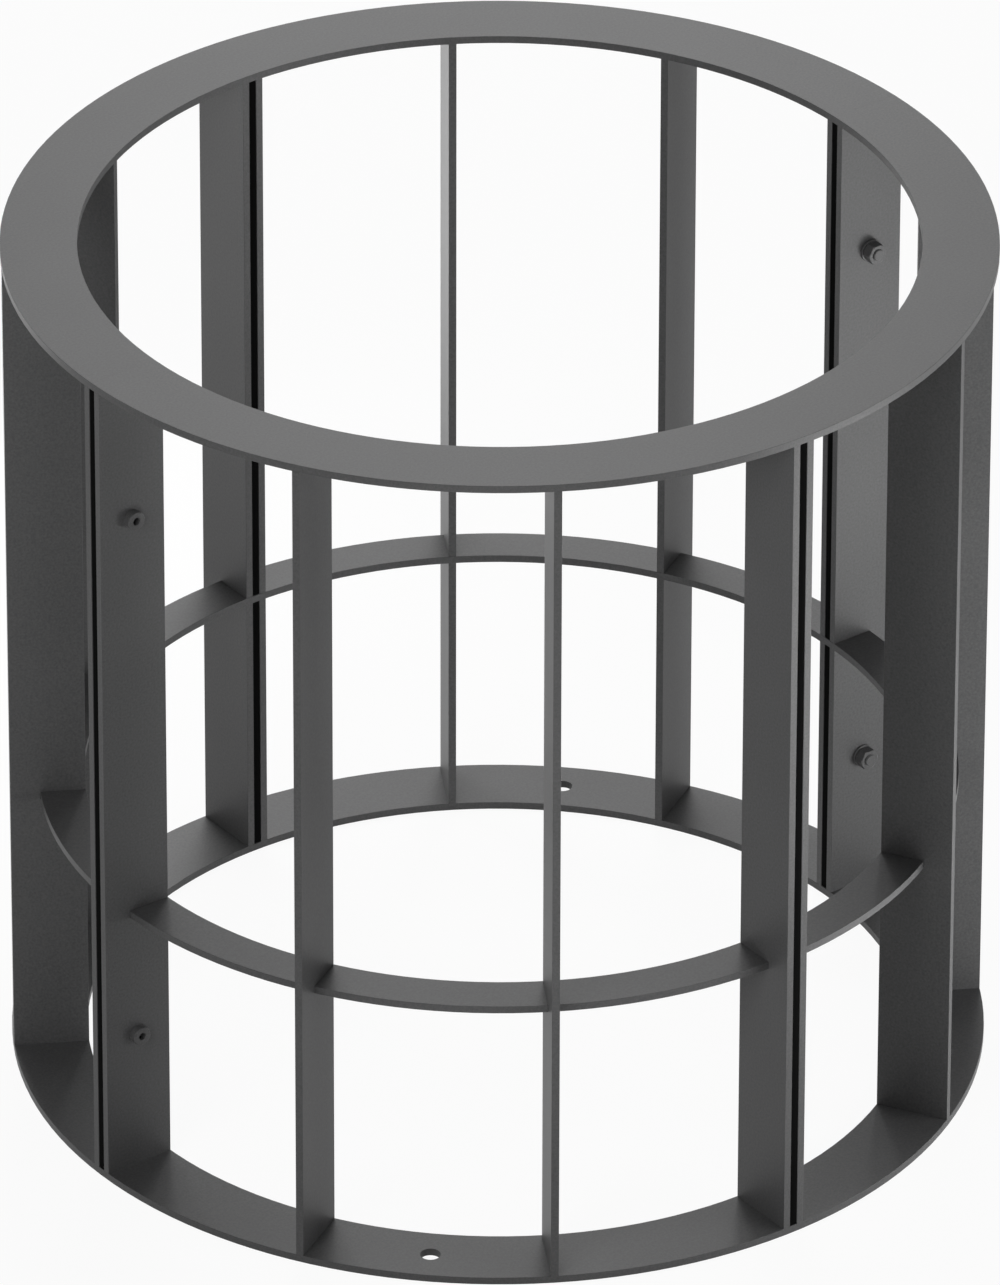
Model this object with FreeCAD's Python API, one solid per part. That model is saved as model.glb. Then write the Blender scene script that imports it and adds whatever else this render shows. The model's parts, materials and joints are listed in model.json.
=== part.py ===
"""Round tree guard: two identical half cages of flat steel bar, bolted together around a trunk.

Millimetres, +Z up. The origin is the centre of the guard's underside, the two halves meet in the
XZ plane, and the rear half lies at +Y. The front half is the rear half turned half a turn about Z.
"""
import FreeCAD, Part
import math
import os

Vector = FreeCAD.Vector
Z_AXIS = Vector(0, 0, 1)

# Cage, of 50 x 5 flat bar, with its sizes taken over a powder coat of 0.1 on each face
outer_diameter = 650.0
guard_height = 600.0
flat_width = 50.2
ring_thickness = 5.2
upright_thickness = 5.2
bays_per_quarter = 3
edge_round = 0.2

# Middle ring, of 30 x 5 flat bar, with its inner edge in line with the inner edges of the uprights
middle_ring_width = 30.2
middle_ring_thickness = 5.2
middle_ring_height = 198.0
notch_clearance = 0.2

# Close pairs and seams
pair_gap = 5.6
ring_joint_gap = 0.05

# Rubber strips in the close pairs
strip_setback = 0.3
strip_face_clearance = 0.2
strip_end_clearance = 0.3

# Anchor holes in the base ring, one in each quarter
anchor_hole_diameter = 13.5

# Seam bolts, one near each end of the end uprights
bolt_end_distance = 105.0
bolt_diameter = 8.0
bolt_hole_clearance = 0.5
bolt_stand_out = 1.2
bolt_tip_chamfer = 0.4
head_diameter = 13.0
head_height = 5.0
head_chamfer = 0.5
socket_across_flats = 5.0
socket_depth = 3.8

# Washers and nuts
washer_diameter = 16.0
washer_thickness = 1.6
washer_clearance = 0.2
washer_edge_round = 0.2
nut_across_flats = 13.0
nut_thickness = 6.8
nut_face_diameter = 12.8
nut_chamfer_angle = 30.0
nut_running_clearance = 0.05
nut_countersink = 0.3

# Places that follow from the sizes above
outer_radius = outer_diameter / 2
inner_radius = outer_radius - flat_width
middle_radius = (outer_radius + inner_radius) / 2
upright_bottom = ring_thickness
upright_top = guard_height - ring_thickness
middle_ring_bottom = middle_ring_height - middle_ring_thickness / 2
middle_ring_top = middle_ring_height + middle_ring_thickness / 2
pair_offset = (pair_gap + upright_thickness) / 2
pair_outer_face = pair_gap / 2 + upright_thickness
bolt_heights = {"upper": guard_height - bolt_end_distance, "lower": bolt_end_distance}
bolt_hole_radius = bolt_diameter / 2 + bolt_hole_clearance
bolt_length = 2 * pair_outer_face + washer_thickness + nut_thickness + bolt_stand_out
bay_angle = 90.0 / bays_per_quarter
reach = outer_diameter


def box(low, high):
    """Box between two corners."""
    size = high - low
    return Part.makeBox(size.x, size.y, size.z, low)


def turned(shape, degrees):
    """Copy of a shape, turned about the guard's axis."""
    copy = shape.copy()
    copy.rotate(Vector(0, 0, 0), Z_AXIS, degrees)
    return copy


def along_y(shape, x, y, z):
    """Copy of a shape made along +Z, laid along +Y and moved to its place."""
    copy = shape.copy()
    copy.rotate(Vector(0, 0, 0), Vector(1, 0, 0), -90)
    copy.translate(Vector(x, y, z))
    return copy


def turned_profile(points):
    """Solid of revolution about Z, from the (radius, height) corners of its outline."""
    corners = [Vector(radius, 0, height) for radius, height in points]
    outline = Part.makePolygon(corners + corners[:1])
    return Part.Face(outline).revolve(Vector(0, 0, 0), Z_AXIS, 360)


def hexagon(across_flats, bottom, top):
    """Hexagonal prism along Z, with corners on the X axis."""
    corner = across_flats / math.sqrt(3)
    points = []
    for side in range(7):
        angle = math.radians(60 * side)
        points.append(Vector(corner * math.cos(angle), corner * math.sin(angle), bottom))
    return Part.Face(Part.makePolygon(points)).extrude(Vector(0, 0, top - bottom))


def half_ring(width, bottom, thickness):
    """Half of a flat ring from the inner radius outward, with softened edges."""
    centre = Vector(0, 0, bottom)
    ring = Part.makeCylinder(inner_radius + width, thickness, centre)
    ring = ring.cut(Part.makeCylinder(inner_radius, thickness, centre))
    rims = [edge for edge in ring.Edges if isinstance(edge.Curve, Part.Circle)]
    ring = ring.makeFillet(edge_round, rims)
    low = Vector(-reach, ring_joint_gap / 2, bottom - thickness)
    high = Vector(reach, reach, bottom + 2 * thickness)
    return ring.common(box(low, high)).Solids[0]


def base_ring():
    """Half base ring with an anchor hole in the middle of each quarter."""
    ring = half_ring(flat_width, 0, ring_thickness)
    for degrees in (45, 135):
        hole = Part.makeCylinder(anchor_hole_diameter / 2, 3 * ring_thickness,
                                 Vector(middle_radius, 0, -ring_thickness))
        ring = ring.cut(turned(hole, degrees))
    return ring.Solids[0]


def bar_outer_edge(offset, thickness):
    """Distance of a bar's outer edge from the axis, with its far corner on the rings' outer edge."""
    corner = abs(offset) + thickness / 2
    return math.sqrt(outer_radius ** 2 - corner ** 2)


def seam_bolt_holes():
    """Cutters for the two bolt holes of a bar that stands on the X axis."""
    holes = []
    for height in bolt_heights.values():
        start = Vector(middle_radius, -pair_outer_face * 2, height)
        holes.append(Part.makeCylinder(bolt_hole_radius, pair_outer_face * 4, start, Vector(0, 1, 0)))
    return holes


def upright(offset=0.0, bolted=False):
    """Flat bar on the X axis between the top and base rings, notched for the middle ring."""
    near = offset - upright_thickness / 2
    far = offset + upright_thickness / 2
    bar = box(Vector(inner_radius, near, upright_bottom),
              Vector(bar_outer_edge(offset, upright_thickness), far, upright_top))
    long_edges = [edge for edge in bar.Edges if abs(edge.tangentAt(edge.FirstParameter).z) > 0.5]
    bar = bar.makeFillet(edge_round, long_edges)
    notch_end = inner_radius + middle_ring_width + notch_clearance
    notch = box(Vector(0, near - upright_thickness, middle_ring_bottom),
                Vector(notch_end, far + upright_thickness, middle_ring_top + notch_clearance))
    bar = bar.cut(notch)
    if bolted:
        bar = bar.cut(seam_bolt_holes())
    return bar.Solids[0]


def strip(bolted=False):
    """Rubber strip on the X axis that fills a close pair, seated on the bar on its +Y side."""
    near = -pair_gap / 2 + strip_face_clearance
    far = pair_gap / 2
    outer_edge = bar_outer_edge(pair_offset, upright_thickness) - strip_setback
    rubber = box(Vector(inner_radius + strip_setback, near, upright_bottom + strip_end_clearance),
                 Vector(outer_edge, far, upright_top - strip_end_clearance))
    notch_end = inner_radius + middle_ring_width + strip_end_clearance
    notch = box(Vector(0, -pair_gap, middle_ring_bottom - strip_end_clearance),
                Vector(notch_end, pair_gap, middle_ring_top + strip_end_clearance))
    rubber = rubber.cut(notch)
    if bolted:
        rubber = rubber.cut(seam_bolt_holes())
    return rubber.Solids[0]


def cap_bolt():
    """Low cap head bolt along Z, head upward, with its seat at the origin."""
    rim = head_diameter / 2
    shank = bolt_diameter / 2
    points = [(0, -bolt_length), (shank - bolt_tip_chamfer, -bolt_length),
              (shank, bolt_tip_chamfer - bolt_length), (shank, 0), (rim, 0),
              (rim, head_height - head_chamfer), (rim - head_chamfer, head_height), (0, head_height)]
    socket = hexagon(socket_across_flats, head_height - socket_depth, head_height + socket_depth)
    return turned_profile(points).cut(socket).Solids[0]


def washer():
    """Plain washer along Z, standing on the XY plane."""
    disc = Part.makeCylinder(washer_diameter / 2, washer_thickness)
    rims = [edge for edge in disc.Edges if isinstance(edge.Curve, Part.Circle)]
    disc = disc.makeFillet(washer_edge_round, rims)
    bore = Part.makeCylinder(bolt_diameter / 2 + washer_clearance, washer_thickness)
    return disc.cut(bore).Solids[0]


def nut():
    """Hexagon nut along Z, standing on the XY plane, with chamfered corners and a countersunk bore."""
    corner = nut_across_flats / math.sqrt(3)
    face = nut_face_diameter / 2
    drop = (corner - face) * math.tan(math.radians(nut_chamfer_angle))
    bore = bolt_diameter / 2 + nut_running_clearance
    mouth = bore + nut_countersink
    points = [(bore, nut_countersink), (mouth, 0), (face, 0), (corner, drop),
              (corner, nut_thickness - drop), (face, nut_thickness), (mouth, nut_thickness),
              (bore, nut_thickness - nut_countersink)]
    return turned_profile(points).common(hexagon(nut_across_flats, 0, nut_thickness)).Solids[0]


def half_cage(half, bolt_side, nut_side):
    """Pieces of the rear half by name: bolts at its +X seam, nuts and washers at its -X seam."""
    pieces = {
        f"{half}_top_ring": half_ring(flat_width, upright_top, ring_thickness),
        f"{half}_middle_ring": half_ring(middle_ring_width, middle_ring_bottom, middle_ring_thickness),
        f"{half}_base_ring": base_ring(),
        f"{half}_end_upright_{bolt_side}": upright(pair_offset, bolted=True),
        f"{half}_end_upright_{nut_side}": turned(upright(-pair_offset, bolted=True), 180),
        f"{half}_pair_upright_{bolt_side}": turned(upright(-pair_offset), 90),
        f"{half}_pair_upright_{nut_side}": turned(upright(pair_offset), 90),
        f"{half}_pair_strip": turned(strip(), 90),
        f"{bolt_side}_seam_strip": strip(bolted=True),
    }
    single_places = [bay for bay in range(1, 2 * bays_per_quarter) if bay != bays_per_quarter]
    for number, bay in enumerate(single_places, start=1):
        pieces[f"{half}_upright_{number}"] = turned(upright(), bay * bay_angle)
    for level, height in bolt_heights.items():
        pieces[f"{bolt_side}_{level}_bolt"] = along_y(
            cap_bolt(), middle_radius, pair_outer_face, height)
        pieces[f"{nut_side}_{level}_washer"] = along_y(
            washer(), -middle_radius, pair_outer_face, height)
        pieces[f"{nut_side}_{level}_nut"] = along_y(
            nut(), -middle_radius, pair_outer_face + washer_thickness, height)
    return pieces


def main():
    os.makedirs("parts", exist_ok=True)
    nodes = half_cage("rear", "right", "left")
    for name, shape in half_cage("front", "left", "right").items():
        nodes[name] = turned(shape, 180)
    for name, shape in nodes.items():
        shape.exportStep(f"parts/{name}.step")
        print(f"{name}: {shape.Volume / 1000:.2f} cm3, valid {shape.isValid()}")
    print(f"{len(nodes)} nodes, bolt length {bolt_length:.2f} mm")


main()
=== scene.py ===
"""Looks of a round tree guard, dressed around its solids, in metres and in the solids' own frame.

The bars of the cage keep their solids and get a powder coat. The seam bolts and nuts are modelled
with their threads, and the washers and the rubber strips of the close pairs with rounded edges.
"""
import json
import math
from collections import namedtuple
from contextlib import contextmanager

import bpy
from bpy.props import FloatProperty, FloatVectorProperty, IntProperty, PointerProperty
from mathutils import Matrix, Quaternion, Vector


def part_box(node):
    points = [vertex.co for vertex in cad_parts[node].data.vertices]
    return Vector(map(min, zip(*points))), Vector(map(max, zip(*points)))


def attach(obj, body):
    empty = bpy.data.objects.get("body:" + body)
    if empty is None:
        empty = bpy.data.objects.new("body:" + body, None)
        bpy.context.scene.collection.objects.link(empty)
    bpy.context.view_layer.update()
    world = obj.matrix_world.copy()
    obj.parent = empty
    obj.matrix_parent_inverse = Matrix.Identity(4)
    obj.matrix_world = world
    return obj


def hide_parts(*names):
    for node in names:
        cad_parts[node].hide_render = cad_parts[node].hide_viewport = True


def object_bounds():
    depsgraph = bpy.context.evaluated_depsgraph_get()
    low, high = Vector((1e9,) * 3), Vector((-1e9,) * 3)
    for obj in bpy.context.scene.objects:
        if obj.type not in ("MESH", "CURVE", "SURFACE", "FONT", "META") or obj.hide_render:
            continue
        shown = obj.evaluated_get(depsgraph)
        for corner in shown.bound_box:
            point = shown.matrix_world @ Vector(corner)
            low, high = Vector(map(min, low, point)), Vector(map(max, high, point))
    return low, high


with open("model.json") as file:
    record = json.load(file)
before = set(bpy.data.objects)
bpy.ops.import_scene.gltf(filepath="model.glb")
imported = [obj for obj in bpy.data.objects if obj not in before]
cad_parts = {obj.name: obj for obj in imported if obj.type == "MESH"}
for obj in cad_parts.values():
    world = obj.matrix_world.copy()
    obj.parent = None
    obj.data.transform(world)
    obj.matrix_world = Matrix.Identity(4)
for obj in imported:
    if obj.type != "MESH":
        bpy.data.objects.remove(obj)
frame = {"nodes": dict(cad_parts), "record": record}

bl_info = {
    "name": "Tree guard",
    "version": (1, 0, 0),
    "blender": (4, 5, 0),
    "location": "View3D > Sidebar > Tree guard",
    "description": "Dresses the solids of a round tree guard and sets its studio",
    "category": "Object",
}

CAD_LOW, CAD_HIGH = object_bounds()
MIDDLE = (CAD_LOW + CAD_HIGH) / 2
NODE_SLOTS = {part["node"]: part["material_slot"] for part in frame["record"]["subparts"]}
FINISHES = {}

# Seams
SIDES = ("right", "left")
LEVELS = ("upper", "lower")
BOLT_PLACES = [(side, level) for side in SIDES for level in LEVELS]
BOLT_HALF = {"right": "rear_half", "left": "front_half"}

# Modelling
MERGE = 1e-7
SMOOTH_ANGLE = math.radians(30)

# Picture and studio
IMAGE_HEIGHT = 1285
SENSOR_WIDTH = 36
FLOOR_SIDES = 96
WHITE = (1, 1, 1, 1)

# Lamps, with azimuths in degrees from the camera's right, seen from above: 90 is behind the guard
Lamp = namedtuple("Lamp", "name azimuth elevation radiance")
FAR_LAMPS = (
    Lamp("back_high_lamp", 90, 55, 3.9),
    Lamp("back_middle_lamp", 90, 28, 3.4),
    Lamp("front_left_lamp", 240, 28, 4.6),
    Lamp("front_right_lamp", 330, 6, 2.3),
)
NEAR_LAMPS = (
    Lamp("back_near_upper_lamp", 120, 9.5, 7.1),
    Lamp("back_near_lower_lamp", 120, -9.5, 3.6),
    Lamp("left_near_lamp", 150, -9.5, 2.4),
    Lamp("front_right_near_lamp", 330, -9.5, 3.1),
    Lamp("right_near_lamp", 345, -9.5, 9.3),
)
FLOOR_LAMPS = (
    Lamp("right_floor_lamp", 345, 0, 9.4),
    Lamp("front_floor_lamp", 270, 0, 4.6),
)


class TreeGuardFasteners(bpy.types.PropertyGroup):
    """Sizes of the seam bolts, nuts and washers."""
    thread_diameter: FloatProperty(
        name="Thread diameter", description="Outside diameter of the bolts' thread",
        default=0.008, unit="LENGTH")
    thread_pitch: FloatProperty(
        name="Thread pitch", description="Travel of a nut in one turn",
        default=0.00125, unit="LENGTH")
    thread_depth: FloatProperty(
        name="Thread depth", description="Depth of the thread's grooves",
        default=0.00076, unit="LENGTH")
    thread_clearance: FloatProperty(
        name="Thread clearance", description="Radial room between a nut's thread and its bolt's",
        default=0.00008, unit="LENGTH")
    head_height: FloatProperty(
        name="Head height", description="Height of the low cap heads",
        default=0.005, unit="LENGTH")
    head_rounding: FloatProperty(
        name="Head rounding", description="Rounding of a cap head's outer edge",
        default=0.0005, unit="LENGTH")
    socket_across_flats: FloatProperty(
        name="Socket across flats", description="Width of the hexagon socket in a cap head",
        default=0.005, unit="LENGTH")
    socket_depth: FloatProperty(
        name="Socket depth", description="Depth of the hexagon socket",
        default=0.0038, unit="LENGTH")
    socket_lead: FloatProperty(
        name="Socket lead-in", description="Slope of the lead-in around the socket's mouth",
        default=math.radians(30), subtype="ANGLE")
    tip_chamfer: FloatProperty(
        name="Tip chamfer", description="Chamfer on the tip of a bolt",
        default=0.0004, unit="LENGTH")
    nut_face: FloatProperty(
        name="Nut face", description="Diameter of a nut's flat faces inside its chamfers",
        default=0.0128, unit="LENGTH")
    nut_chamfer: FloatProperty(
        name="Nut chamfer", description="Angle of the chamfers on a nut's corners",
        default=math.radians(30), subtype="ANGLE")
    nut_countersink: FloatProperty(
        name="Nut countersink", description="Width of the countersinks in a nut's bore",
        default=0.0003, unit="LENGTH")
    nut_seat_room: FloatProperty(
        name="Nut seat room", description="Room between a nut and its washer",
        default=0.00002, unit="LENGTH")
    washer_bore: FloatProperty(
        name="Washer bore", description="Diameter of a washer's hole",
        default=0.0084, unit="LENGTH")
    washer_round: FloatProperty(
        name="Washer rounding", description="Rounding of a washer's edges",
        default=0.0003, unit="LENGTH")
    washer_segments: IntProperty(
        name="Washer segments", description="Facets across the rounding of a washer's edges",
        default=3)
    sides: IntProperty(
        name="Sides", description="Facets around a bolt, nut or washer",
        default=64)


class TreeGuardStrips(bpy.types.PropertyGroup):
    """Sizes of the rubber strips."""
    rounding: FloatProperty(
        name="Edge rounding", description="Rounding of a strip's edges",
        default=0.0004, unit="LENGTH")
    rounding_segments: IntProperty(
        name="Edge segments", description="Facets across the rounding of a strip's edges",
        default=4)
    ring_clearance: FloatProperty(
        name="Ring clearance", description="Room between a strip's notch and the middle ring",
        default=0.0003, unit="LENGTH")
    hole_diameter: FloatProperty(
        name="Hole diameter", description="Holes for the bolts in the seam strips",
        default=0.009, unit="LENGTH")
    hole_sides: IntProperty(
        name="Hole sides", description="Facets around a bolt hole",
        default=48)


class TreeGuardFinish(bpy.types.PropertyGroup):
    """Colours, gloss and grain of the finishes."""
    cage_colour: FloatVectorProperty(
        name="Cage colour", description="Powder coat of the bars", subtype="COLOR",
        default=(0.090, 0.090, 0.091))
    cage_roughness: FloatProperty(
        name="Cage roughness", description="Roughness of the bars' powder coat",
        default=0.5)
    cage_grain: FloatProperty(
        name="Cage grain", description="Size of the grain of the bars' powder coat",
        default=0.0016, unit="LENGTH")
    fastener_colour: FloatVectorProperty(
        name="Fastener colour", description="Coat of the bolts, nuts and washers", subtype="COLOR",
        default=(0.088, 0.088, 0.089))
    fastener_roughness: FloatProperty(
        name="Fastener roughness", description="Roughness of the fasteners' coat",
        default=0.45)
    fastener_grain: FloatProperty(
        name="Fastener grain", description="Size of the grain of the fasteners' coat",
        default=0.0008, unit="LENGTH")
    # Near-black strip colour: rubber, made darker than rubber as painted shade of the gaps between the
    # paired bars.
    rubber_and_gap_shade_colour: FloatVectorProperty(
        name="Rubber colour", description="Strips between the close pairs", subtype="COLOR",
        default=(0.004, 0.004, 0.004))


class TreeGuardStage(bpy.types.PropertyGroup):
    """Camera, floor and light."""
    camera_azimuth: FloatProperty(
        name="Camera azimuth", description="Direction of the camera from the guard's axis",
        default=math.radians(233.390), subtype="ANGLE")
    camera_elevation: FloatProperty(
        name="Camera elevation", description="Height of the camera above the horizon",
        default=math.radians(30.501), subtype="ANGLE")
    camera_roll: FloatProperty(
        name="Camera roll", description="Turn of the camera about its own line of sight",
        default=math.radians(0.131), subtype="ANGLE")
    camera_distance: FloatProperty(
        name="Camera distance", description="Distance of the camera from the point it aims at",
        default=10.331, unit="LENGTH")
    focal_pixels: FloatProperty(
        name="Focal length in pixels", description="Focal length, in pixels of the whole picture",
        default=15663.0)
    aim_right: FloatProperty(
        name="Aim right", description="How far to the right of the guard's middle the camera aims",
        default=0.00074, unit="LENGTH")
    aim_down: FloatProperty(
        name="Aim down", description="How far below the guard's middle the camera aims",
        default=0.0052, unit="LENGTH")
    floor_radius: FloatProperty(
        name="Floor radius", description="Radius of the floor",
        default=6.0, unit="LENGTH")
    floor_colour: FloatVectorProperty(
        name="Floor colour", description="Colour of the floor where it takes light and shadow",
        subtype="COLOR", default=(0.9, 0.9, 0.9))
    shadow_share: FloatProperty(
        name="Shadow share", description="Share of the floor's look that takes shadows",
        default=0.06)
    ambient: FloatProperty(
        name="Ambient", description="Strength of the light that comes from all round",
        default=0.0)
    far_lamp_distance: FloatProperty(
        name="Far lamp distance", description="Distance of the far lamps from the guard's middle",
        default=2.5, unit="LENGTH")
    far_lamp_size: FloatProperty(
        name="Far lamp size", description="Diameter of the far lamps",
        default=1.2, unit="LENGTH")
    near_lamp_distance: FloatProperty(
        name="Near lamp distance", description="Distance of the near lamps from the guard's middle",
        default=0.9, unit="LENGTH")
    near_lamp_size: FloatProperty(
        name="Near lamp size", description="Diameter of the near lamps",
        default=0.3, unit="LENGTH")
    floor_lamp_distance: FloatProperty(
        name="Floor lamp distance", description="Distance of the floor lamps from the guard's axis",
        default=0.9, unit="LENGTH")
    floor_lamp_size: FloatProperty(
        name="Floor lamp size", description="Diameter of the floor lamps",
        default=0.4, unit="LENGTH")
    floor_lamp_height: FloatProperty(
        name="Floor lamp height", description="Height of the floor lamps above the floor",
        default=0.003, unit="LENGTH")


class Number:
    """A number in a node graph, on which sums are written as plain expressions."""

    def __init__(self, graph, socket):
        self.graph = graph
        self.socket = socket

    def __add__(self, other):
        return self.graph.math("ADD", self, other)

    def __sub__(self, other):
        return self.graph.math("SUBTRACT", self, other)

    def __rsub__(self, other):
        return self.graph.math("SUBTRACT", other, self)

    def __mul__(self, other):
        return self.graph.math("MULTIPLY", self, other)

    __radd__ = __add__
    __rmul__ = __mul__

    def at_least(self, other):
        return self.graph.math("MAXIMUM", self, other)


class Graph:
    """The nodes of one material or world."""

    NOISE_MIDDLE = 0.5
    MIX_FIRST, MIX_SECOND, MIX_RESULT = 6, 7, 2

    def __init__(self, owner):
        owner.use_nodes = True
        self.tree = owner.node_tree
        self.tree.nodes.clear()

    def node(self, kind, settings=None, inputs=None):
        """New node: its settings first, then the values or links of its sockets."""
        made = self.tree.nodes.new(kind)
        for name, value in (settings or {}).items():
            setattr(made, name, value)
        for name, value in (inputs or {}).items():
            socket = made.inputs[name]
            if isinstance(value, Number):
                value = value.socket
            if isinstance(value, bpy.types.NodeSocket):
                self.tree.links.new(value, socket)
            else:
                socket.default_value = value
        return made

    def number(self, kind, output, settings=None, inputs=None):
        """New node, as one of its outputs."""
        return Number(self, self.node(kind, settings, inputs).outputs[output])

    def math(self, operation, first, second):
        return self.number("ShaderNodeMath", 0, {"operation": operation}, {0: first, 1: second})

    def mixed(self, share, first, second):
        """Colour between two colours."""
        mix = self.node("ShaderNodeMix", {"data_type": "RGBA"}, {
            0: share, self.MIX_FIRST: first, self.MIX_SECOND: second})
        return mix.outputs[self.MIX_RESULT]

    def noise(self, scale, detail, roughness):
        """Noise on the piece's own coordinates, from 0 to 1."""
        place = self.node("ShaderNodeTexCoord").outputs["Object"]
        return self.number("ShaderNodeTexNoise", "Fac", None, {
            "Vector": place, "Scale": scale, "Detail": detail, "Roughness": roughness})

    def bump(self, height, distance, strength):
        """Normal bent by a height."""
        return self.node("ShaderNodeBump", None, {
            "Height": height, "Distance": distance, "Strength": strength}).outputs["Normal"]

    def surface(self, shader, kind="ShaderNodeOutputMaterial"):
        self.node(kind, None, {"Surface": shader.outputs[0]})


def shaded(colour, share=1.0):
    """A colour made lighter or darker, as four numbers."""
    return tuple(channel * share for channel in colour) + (1.0,)


def powder_coat(name, colour, roughness, grain_size):
    """Satin coat with a fine grain and a faint unevenness over the length of a bar."""
    grain_share = 0.75
    patches_in_a_metre = 9.0
    tone_spread = 0.6
    roughness_spread = 0.10
    made = bpy.data.materials.new(name)
    graph = Graph(made)
    grain = graph.noise(1 / grain_size, detail=3.0, roughness=0.6)
    patches = graph.noise(patches_in_a_metre, detail=1.0, roughness=0.5)
    tone = grain_share * grain + (1 - grain_share) * patches
    shader = graph.node("ShaderNodeBsdfPrincipled", None, {
        "Base Color": graph.mixed(
            tone, shaded(colour, 1 - tone_spread), shaded(colour, 1 + tone_spread)),
        "Roughness": roughness + roughness_spread * (grain - graph.NOISE_MIDDLE),
        "Specular IOR Level": 0.3,
        "Normal": graph.bump(grain, distance=0.0002, strength=0.15),
    })
    graph.surface(shader)
    return made


def rubber_with_painted_gap_shade(name, colour):
    """Matt rubber with a fine skin, made darker than rubber and with its reflection turned down, as
    painted shade of the gaps between the paired bars.
    """
    grains_in_a_metre = 700.0
    tone_spread = 0.3
    smoothest = 0.8
    roughness_spread = 0.1
    made = bpy.data.materials.new(name)
    graph = Graph(made)
    skin = graph.noise(grains_in_a_metre, detail=3.0, roughness=0.6)
    shader = graph.node("ShaderNodeBsdfPrincipled", None, {
        "Base Color": graph.mixed(
            skin, shaded(colour, 1 - tone_spread), shaded(colour, 1 + tone_spread)),
        "Roughness": smoothest + roughness_spread * skin,
        # Reflection turned down below that of rubber, as painted shade of the gap.
        "Specular IOR Level": 0.02,
        "Normal": graph.bump(skin, distance=0.0002, strength=0.2),
    })
    graph.surface(shader)
    return made


def finish(slot):
    """Material of one of the record's slots, made on its first use."""
    if slot not in FINISHES:
        look = bpy.context.scene.tree_guard_finish
        if slot == "frame_paint":
            FINISHES[slot] = powder_coat(
                "bar_powder_coat", look.cage_colour, look.cage_roughness, look.cage_grain)
        elif slot == "fastener_finish":
            FINISHES[slot] = powder_coat(
                "fastener_coat", look.fastener_colour, look.fastener_roughness, look.fastener_grain)
        # The strips' finish: rubber, with its darkness partly painted shade of the seam gaps.
        elif slot == "strip_rubber":
            FINISHES[slot] = rubber_with_painted_gap_shade("strip_rubber_with_gap_shade", look.rubber_and_gap_shade_colour)
        else:
            raise ValueError(f"no finish is known for slot {slot}")
    return FINISHES[slot]


def box_centre(node):
    """Middle of a node's box."""
    low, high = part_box(node)
    return (low + high) / 2


def box_size(node):
    """Extents of a node's box."""
    low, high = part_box(node)
    return high - low


def direction(azimuth, elevation):
    """Unit vector at an azimuth, seen from above, and a height above the horizon."""
    level = Vector((math.cos(azimuth), math.sin(azimuth), 0))
    return level * math.cos(elevation) + Vector((0, 0, math.sin(elevation)))


def select_none():
    """Leaves nothing selected, so that the next operator acts on new pieces alone."""
    bpy.ops.object.select_all(action="DESELECT")


def select_alone(piece):
    """Selects one piece alone and makes it the active one."""
    select_none()
    piece.select_set(True)
    bpy.context.view_layer.objects.active = piece


def settled():
    """The active piece, with its place, turn and scale put into its mesh."""
    bpy.ops.object.transform_apply(location=True, rotation=True, scale=True)
    return bpy.context.object


@contextmanager
def editing(piece):
    """Edit mode on one piece alone, with all of it selected."""
    select_alone(piece)
    bpy.ops.object.mode_set(mode="EDIT")
    bpy.ops.mesh.select_all(action="SELECT")
    yield
    bpy.ops.object.mode_set(mode="OBJECT")


def cleaned(piece):
    """The piece with its seams merged and its faces pointing outwards."""
    with editing(piece):
        bpy.ops.mesh.remove_doubles(threshold=MERGE)
        bpy.ops.mesh.normals_make_consistent(inside=False)
    return piece


def outline(points):
    """Run of edges through (radius, height) points in the XZ plane, drawn by extruding its end."""
    corners = [Vector((radius, 0, height)) for radius, height in points]
    select_none()
    bpy.ops.mesh.primitive_plane_add(size=2 * corners[0].length)
    piece = bpy.context.object
    with editing(piece):
        bpy.ops.mesh.merge(type="CENTER")
        bpy.ops.transform.translate(value=corners[0])
        for start, end in zip(corners, corners[1:]):
            bpy.ops.mesh.extrude_region_move(TRANSFORM_OT_translate={"value": end - start})
    return piece


def turned(points, sides):
    """Solid of revolution about Z, spun from its outline."""
    piece = outline(points)
    with editing(piece):
        bpy.ops.mesh.spin(steps=sides, angle=2 * math.pi, center=(0, 0, 0), axis=(0, 0, 1))
    return cleaned(piece)


def corner_arc(radius, height, rounding, count=5):
    """Points of a quarter circle that rounds an outline's upper outer corner."""
    angles = [math.pi / 2 * step / count for step in range(count + 1)]
    return [
        (radius - rounding * (1 - math.cos(angle)), height - rounding * (1 - math.sin(angle)))
        for angle in angles]


def threaded_rod(sizes, low, high, growth):
    """Rod along Z with a right-handed thread, cut square at both heights and grown outward all over."""
    pitch = sizes.thread_pitch
    flat = pitch / 8
    crest = sizes.thread_diameter / 2 + growth
    root = crest - sizes.thread_depth
    spare_turns = 2
    turns = math.ceil((high - low) / pitch) + spare_turns + 1
    bottom = (math.floor(low / pitch) - spare_turns) * pitch
    middle = bottom + pitch / 2
    piece = outline([
        (root, bottom), (root, bottom + flat), (crest, middle), (crest, middle + flat),
        (root, bottom + pitch)])
    screw = piece.modifiers.new("thread", "SCREW")
    screw.axis = "Z"
    screw.screw_offset = pitch
    screw.iterations = turns
    screw.steps = sizes.sides
    screw.render_steps = sizes.sides
    screw.use_merge_vertices = True
    screw.merge_threshold = MERGE
    bpy.ops.object.modifier_apply(modifier=screw.name)
    with editing(piece):
        for height, above in ((low, False), (high, True)):
            bpy.ops.mesh.select_all(action="SELECT")
            bpy.ops.mesh.bisect(
                plane_co=(0, 0, height), plane_no=(0, 0, 1), use_fill=True, threshold=MERGE,
                clear_inner=not above, clear_outer=above)
    return cleaned(piece)


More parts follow.
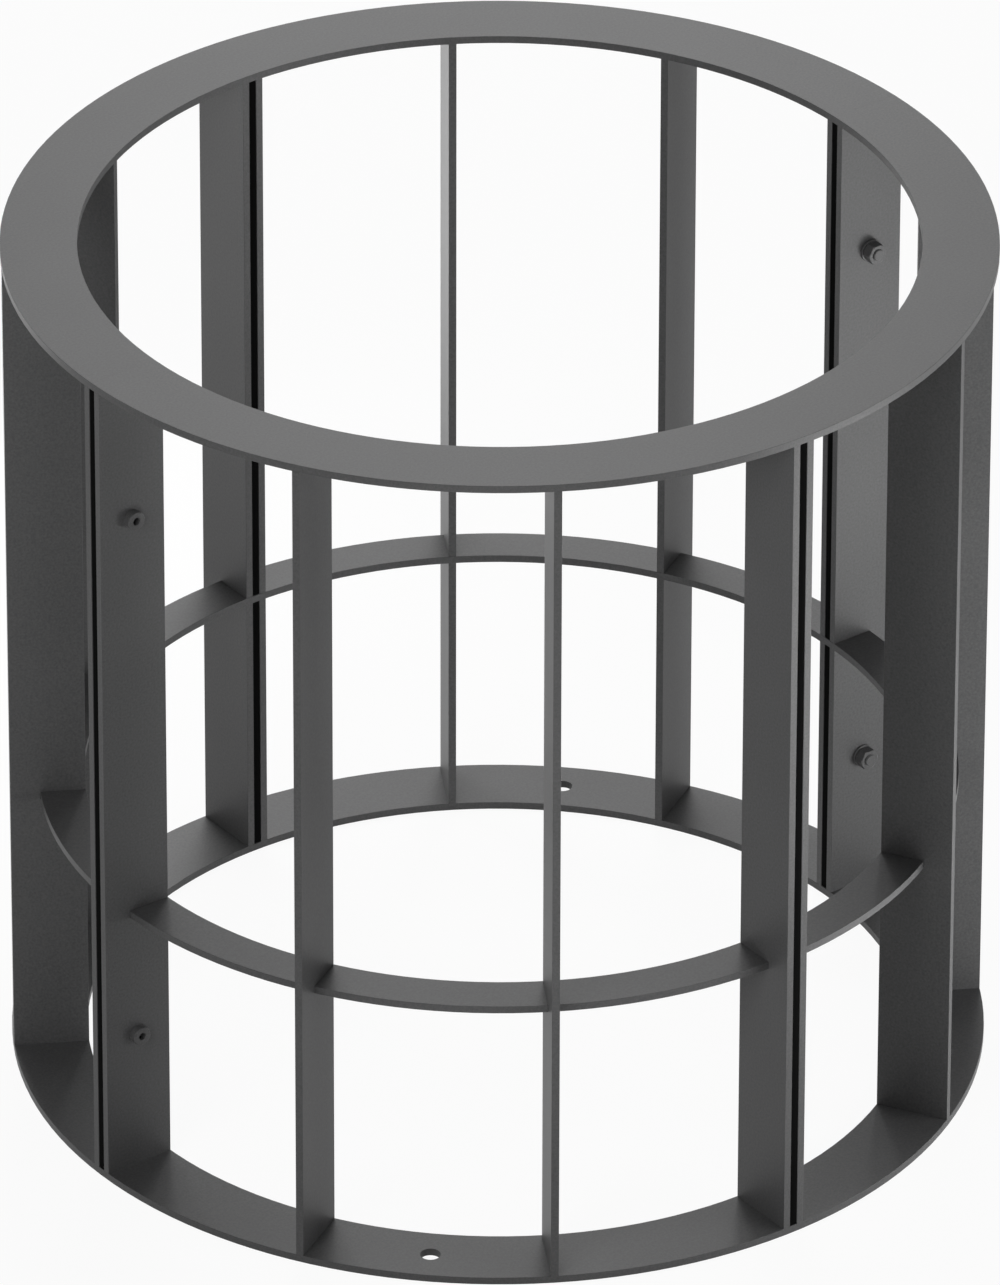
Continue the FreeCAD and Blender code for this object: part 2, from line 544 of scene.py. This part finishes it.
def hexagonal_bar(across_flats, low, high):
    """Hexagonal bar along Z with corners on the X axis."""
    select_none()
    bpy.ops.mesh.primitive_cylinder_add(
        vertices=6, radius=across_flats / math.sqrt(3), depth=high - low,
        location=(0, 0, (low + high) / 2), rotation=(0, 0, math.radians(30)))
    return settled()


def block(low, high):
    """Box between two corners."""
    select_none()
    bpy.ops.mesh.primitive_cube_add(size=1, location=(low + high) / 2, scale=high - low)
    return settled()


def combined(piece, tool, operation):
    """The piece joined with, cut by or cut to a tool, which is used up."""
    select_alone(piece)
    change = piece.modifiers.new("change", "BOOLEAN")
    change.operation = operation
    change.solver = "EXACT"
    change.object = tool
    bpy.ops.object.modifier_apply(modifier=change.name)
    bpy.data.objects.remove(tool)
    return cleaned(piece)


def rounded(piece, width, segments):
    """The piece with its sharp edges rounded."""
    select_alone(piece)
    rounding = piece.modifiers.new("rounding", "BEVEL")
    rounding.width = width
    rounding.segments = segments
    rounding.limit_method = "ANGLE"
    bpy.ops.object.modifier_apply(modifier=rounding.name)
    return piece


def smoothed(piece):
    """The piece with smooth shading across its gentle edges."""
    select_alone(piece)
    bpy.ops.object.shade_smooth_by_angle(angle=SMOOTH_ANGLE)
    return piece


def placed_copy(master, name, place):
    """Copy of a modelled piece with its own mesh, put in its place for good."""
    select_alone(master)
    bpy.ops.object.duplicate()
    copy = bpy.context.object
    copy.name = name
    copy.matrix_world = place
    return settled()


def dress(piece, node, body):
    """Gives a new piece the finish of the node that it stands for, and the body, and hides that node.
    """
    slot = NODE_SLOTS[node]
    piece.data.materials.clear()
    piece.data.materials.append(finish(slot))
    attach(piece, body)
    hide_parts(node)


def seam_place(side, level):
    """Where a bolt stands: along Y, with its seat against the bar and its head outward."""
    node = f"{side}_{level}_bolt"
    low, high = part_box(node)
    centre = box_centre(node)
    head = bpy.context.scene.tree_guard_fasteners.head_height
    laid = Matrix.Rotation(-math.pi / 2, 4, "X")
    if side == "right":
        return Matrix.Translation((centre.x, high.y - head, centre.z)) @ laid
    half_turn = Matrix.Rotation(math.pi, 4, "Z")
    return Matrix.Translation((centre.x, low.y + head, centre.z)) @ half_turn @ laid


def seat_distances(fastener):
    """Nearest and farthest distance of a nut or washer from its bolt's seat, along the shank."""
    head = bpy.context.scene.tree_guard_fasteners.head_height
    bolt_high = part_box("right_upper_bolt")[1]
    low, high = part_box(f"right_upper_{fastener}")
    seat = bolt_high.y - head
    return seat - high.y, seat - low.y


def set_at_seams(master, fastener, look, bodies=None):
    """Copies a fastener to its four places, by default on bodies of their own, and removes it."""
    for side, level in BOLT_PLACES:
        node = f"{side}_{level}_{fastener}"
        body = bodies[side] if bodies else node
        dress(placed_copy(master, f"{node}_{look}", seam_place(side, level)), node, body)
    bpy.data.objects.remove(master)


class TREEGUARD_OT_cage(bpy.types.Operator):
    """Give the bars and rings of the cage their powder coat"""
    bl_idname = "tree_guard.cage"
    bl_label = "Coat the cage"

    def execute(self, context):
        for name, node in frame["nodes"].items():
            node.data.materials.clear()
            node.data.materials.append(finish(NODE_SLOTS[name]))
        return {"FINISHED"}


class TREEGUARD_OT_bolts(bpy.types.Operator):
    """Model the low cap head bolts with their threads and hexagon sockets"""
    bl_idname = "tree_guard.bolts"
    bl_label = "Model the bolts"

    def head(self, sizes, rim):
        """Cap head on the XY plane, with its upper edge rounded."""
        top = sizes.head_height
        edge = corner_arc(rim, top, sizes.head_rounding)
        return turned([(0, 0), (rim, 0)] + edge + [(0, top)], sizes.sides)

    def shank(self, sizes, length, top):
        """Threaded shank below the XY plane with a chamfered tip, reaching up into the head."""
        thread = sizes.thread_diameter / 2
        chamfer = sizes.tip_chamfer
        rod = threaded_rod(sizes, -length - sizes.thread_pitch, top, 0)
        blank = turned([
            (0, -length), (thread - chamfer, -length), (thread + chamfer, 2 * chamfer - length),
            (thread + chamfer, sizes.head_height), (0, sizes.head_height)], sizes.sides)
        return combined(rod, blank, "INTERSECT")

    def socket_lead(self, sizes):
        """Cone that cuts the lead-in around the socket's mouth."""
        top = sizes.head_height
        mouth = sizes.socket_across_flats / math.sqrt(3)
        rise = mouth * math.tan(sizes.socket_lead)
        return turned([(0, top - rise), (2 * mouth, top + rise), (0, top + rise)], sizes.sides)

    def execute(self, context):
        sizes = context.scene.tree_guard_fasteners
        size = box_size("right_upper_bolt")
        top = sizes.head_height
        socket_bottom = top - sizes.socket_depth
        bolt = self.head(sizes, size.x / 2)
        bolt = combined(bolt, self.shank(sizes, size.y - top, socket_bottom / 2), "UNION")
        socket = hexagonal_bar(sizes.socket_across_flats, socket_bottom, 2 * top)
        bolt = combined(bolt, socket, "DIFFERENCE")
        bolt = combined(bolt, self.socket_lead(sizes), "DIFFERENCE")
        set_at_seams(smoothed(bolt), "bolt", "threaded", BOLT_HALF)
        return {"FINISHED"}


class TREEGUARD_OT_nuts(bpy.types.Operator):
    """Model the hexagon nuts with chamfered corners and threaded bores"""
    bl_idname = "tree_guard.nuts"
    bl_label = "Model the nuts"

    def execute(self, context):
        sizes = context.scene.tree_guard_fasteners
        near, far = seat_distances("nut")
        near += sizes.nut_seat_room
        across_flats = box_size("right_upper_nut").z
        corner = across_flats / math.sqrt(3)
        face = sizes.nut_face / 2
        drop = (corner - face) * math.tan(sizes.nut_chamfer)
        nut = hexagonal_bar(across_flats, -far, -near)
        blank = turned([
            (0, -far), (face, -far), (2 * corner - face, -far + 2 * drop),
            (2 * corner - face, -near - 2 * drop), (face, -near), (0, -near)], sizes.sides)
        nut = combined(nut, blank, "INTERSECT")
        overrun = sizes.thread_pitch
        bore = threaded_rod(sizes, -far - overrun, -near + overrun, sizes.thread_clearance)
        nut = combined(nut, bore, "DIFFERENCE")
        mouth = sizes.thread_diameter / 2 + sizes.nut_countersink
        for height, inward in ((-far, mouth), (-near, -mouth)):
            countersink = turned([
                (0, height - inward), (2 * mouth, height - inward),
                (mouth, height), (0, height + inward)], sizes.sides)
            nut = combined(nut, countersink, "DIFFERENCE")
        set_at_seams(smoothed(nut), "nut", "threaded")
        return {"FINISHED"}


class TREEGUARD_OT_washers(bpy.types.Operator):
    """Model the plain washers with rounded edges"""
    bl_idname = "tree_guard.washers"
    bl_label = "Model the washers"

    def execute(self, context):
        sizes = context.scene.tree_guard_fasteners
        near, far = seat_distances("washer")
        rim = box_size("right_upper_washer").x / 2
        bore = sizes.washer_bore / 2
        washer = turned([
            (bore, -far), (rim, -far), (rim, -near), (bore, -near), (bore, -far)], sizes.sides)
        washer = rounded(washer, sizes.washer_round, sizes.washer_segments)
        set_at_seams(smoothed(cleaned(washer)), "washer", "rounded")
        return {"FINISHED"}


class TREEGUARD_OT_strips(bpy.types.Operator):
    """Model the rubber strips with rounded edges, notches for the middle ring and bolt holes"""
    bl_idname = "tree_guard.strips"
    bl_label = "Model the strips"

    def strip(self, context):
        """Rubber strip at the right seam, with its notch."""
        sizes = context.scene.tree_guard_strips
        low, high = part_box("right_seam_strip")
        strip = rounded(block(low, high), sizes.rounding, sizes.rounding_segments)
        ring_low, ring_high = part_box("rear_middle_ring")
        room = Vector((1, 1, 1)) * sizes.ring_clearance
        notch_low = Vector((0, low.y - room.y, ring_low.z)) - room
        notch_high = Vector((ring_high.x, high.y + room.y, ring_high.z)) + room
        return combined(strip, block(notch_low, notch_high), "DIFFERENCE")

    def drilled(self, context, strip):
        """The strip with its bolt holes."""
        sizes = context.scene.tree_guard_strips
        for level in LEVELS:
            bolt = f"right_{level}_bolt"
            centre = box_centre(bolt)
            select_none()
            bpy.ops.mesh.primitive_cylinder_add(
                vertices=sizes.hole_sides, radius=sizes.hole_diameter / 2, depth=box_size(bolt).y,
                location=(centre.x, 0, centre.z), rotation=(math.pi / 2, 0, 0))
            strip = combined(strip, settled(), "DIFFERENCE")
        return strip

    def set_in_pairs(self, master, places):
        """Copies a strip to its places, each with an angle about Z and a body, and removes it."""
        for node, (degrees, body) in places.items():
            place = Matrix.Rotation(math.radians(degrees), 4, "Z")
            dress(placed_copy(master, f"{node}_rubber", place), node, body)
        bpy.data.objects.remove(master)

    def execute(self, context):
        self.set_in_pairs(smoothed(self.drilled(context, self.strip(context))), {
            "right_seam_strip": (0, "rear_half"), "left_seam_strip": (180, "front_half")})
        self.set_in_pairs(smoothed(self.strip(context)), {
            "rear_pair_strip": (90, "rear_half"), "front_pair_strip": (270, "front_half")})
        return {"FINISHED"}


class TREEGUARD_OT_stage(bpy.types.Operator):
    """Set the floor, the light and the camera"""
    bl_idname = "tree_guard.stage"
    bl_label = "Set the stage"

    def camera(self, context):
        """Camera at the photograph's viewing angle."""
        stage = context.scene.tree_guard_stage
        back = direction(stage.camera_azimuth, stage.camera_elevation)
        turn = (-back).to_track_quat("-Z", "Y") @ Quaternion((0, 0, 1), stage.camera_roll)
        right = turn @ Vector((1, 0, 0))
        up = turn @ Vector((0, 1, 0))
        aim = MIDDLE + right * stage.aim_right - up * stage.aim_down
        bpy.ops.object.camera_add(
            location=aim + back * stage.camera_distance, rotation=turn.to_euler())
        camera = context.object
        camera.data.sensor_width = SENSOR_WIDTH
        camera.data.lens = SENSOR_WIDTH * stage.focal_pixels / IMAGE_HEIGHT
        context.scene.camera = camera

    def seen(self, graph):
        """One where a ray shows the background itself, and nought where it carries light."""
        path = graph.node("ShaderNodeLightPath").outputs
        camera = Number(graph, path["Is Camera Ray"])
        glossy = Number(graph, path["Is Glossy Ray"])
        return camera.at_least(glossy).at_least(Number(graph, path["Is Transmission Ray"]))

    def floor(self, context):
        """White floor that takes the guard's shadow."""
        stage = context.scene.tree_guard_stage
        select_none()
        bpy.ops.mesh.primitive_circle_add(
            vertices=FLOOR_SIDES, radius=stage.floor_radius, fill_type="NGON",
            location=(0, 0, CAD_LOW.z))
        floor = context.object
        floor.name = "floor"
        made = bpy.data.materials.new("floor")
        graph = Graph(made)
        shadow = graph.node("ShaderNodeBsdfDiffuse", None, {"Color": shaded(stage.floor_colour)})
        white = graph.node("ShaderNodeEmission", None, {"Color": WHITE, "Strength": 1.0})
        share = self.seen(graph) * (1 - stage.shadow_share)
        mix = graph.node("ShaderNodeMixShader", None, {
            0: share, 1: shadow.outputs[0], 2: white.outputs[0]})
        graph.surface(mix)
        floor.data.materials.append(made)

    def world(self, context):
        """White background that adds no light beyond the ambient strength."""
        world = bpy.data.worlds.new("studio")
        graph = Graph(world)
        ambient = context.scene.tree_guard_stage.ambient
        light = graph.node("ShaderNodeBackground", None, {"Color": WHITE, "Strength": ambient})
        white = graph.node("ShaderNodeBackground", None, {"Color": WHITE, "Strength": 1.0})
        mix = graph.node("ShaderNodeMixShader", None, {
            0: self.seen(graph), 1: light.outputs[0], 2: white.outputs[0]})
        graph.surface(mix, "ShaderNodeOutputWorld")
        context.scene.world = world

    def lamp(self, context, lamp, place, back, size):
        """Round lamp that shines away from its back."""
        bpy.ops.object.light_add(
            type="AREA", location=place, rotation=back.to_track_quat("Z", "Y").to_euler())
        light = context.object
        light.name = lamp.name
        light.data.shape = "DISK"
        light.data.size = size
        light.data.energy = lamp.radiance * (math.pi * size / 2) ** 2
        light.visible_camera = False

    def away(self, stage, lamp):
        """Direction of a lamp from the guard's middle."""
        right = stage.camera_azimuth + math.pi / 2
        return direction(right + math.radians(lamp.azimuth), math.radians(lamp.elevation))

    def lamps(self, context):
        """Far and near lamps that face the guard's middle, and lamps on the floor that face upward."""
        stage = context.scene.tree_guard_stage
        for lamp in FAR_LAMPS:
            back = self.away(stage, lamp)
            place = MIDDLE + back * stage.far_lamp_distance
            self.lamp(context, lamp, place, back, stage.far_lamp_size)
        for lamp in NEAR_LAMPS:
            back = self.away(stage, lamp)
            place = MIDDLE + back * stage.near_lamp_distance
            self.lamp(context, lamp, place, back, stage.near_lamp_size)
        for lamp in FLOOR_LAMPS:
            place = MIDDLE + self.away(stage, lamp) * stage.floor_lamp_distance
            place.z = CAD_LOW.z + stage.floor_lamp_height
            self.lamp(context, lamp, place, Vector((0, 0, -1)), stage.floor_lamp_size)

    def execute(self, context):
        self.camera(context)
        self.floor(context)
        self.world(context)
        self.lamps(context)
        context.scene.view_settings.view_transform = "Standard"
        return {"FINISHED"}


class TREEGUARD_PT_sidebar(bpy.types.Panel):
    """The guard's pieces and stage, with their sizes and colours"""
    bl_idname = "TREEGUARD_PT_sidebar"
    bl_label = "Tree guard"
    bl_space_type = "VIEW_3D"
    bl_region_type = "UI"
    bl_category = "Tree guard"

    def draw(self, context):
        for operator in OPERATORS:
            self.layout.operator(operator.bl_idname)
        for name, group in GROUPS.items():
            for setting in group.__annotations__:
                self.layout.prop(getattr(context.scene, name), setting)


OPERATORS = (
    TREEGUARD_OT_cage, TREEGUARD_OT_bolts, TREEGUARD_OT_nuts, TREEGUARD_OT_washers,
    TREEGUARD_OT_strips, TREEGUARD_OT_stage)
GROUPS = {
    "tree_guard_fasteners": TreeGuardFasteners, "tree_guard_strips": TreeGuardStrips,
    "tree_guard_finish": TreeGuardFinish, "tree_guard_stage": TreeGuardStage}


def register():
    for group in GROUPS.values():
        bpy.utils.register_class(group)
    for name, group in GROUPS.items():
        setattr(bpy.types.Scene, name, PointerProperty(type=group))
    for operator in OPERATORS:
        bpy.utils.register_class(operator)
    bpy.utils.register_class(TREEGUARD_PT_sidebar)


def unregister():
    bpy.utils.unregister_class(TREEGUARD_PT_sidebar)
    for operator in reversed(OPERATORS):
        bpy.utils.unregister_class(operator)
    for name in GROUPS:
        delattr(bpy.types.Scene, name)
    for group in GROUPS.values():
        bpy.utils.unregister_class(group)


def main():
    register()
    bpy.ops.tree_guard.cage()
    bpy.ops.tree_guard.bolts()
    bpy.ops.tree_guard.nuts()
    bpy.ops.tree_guard.washers()
    bpy.ops.tree_guard.strips()
    bpy.ops.tree_guard.stage()


if __name__ == "__main__":
    main()
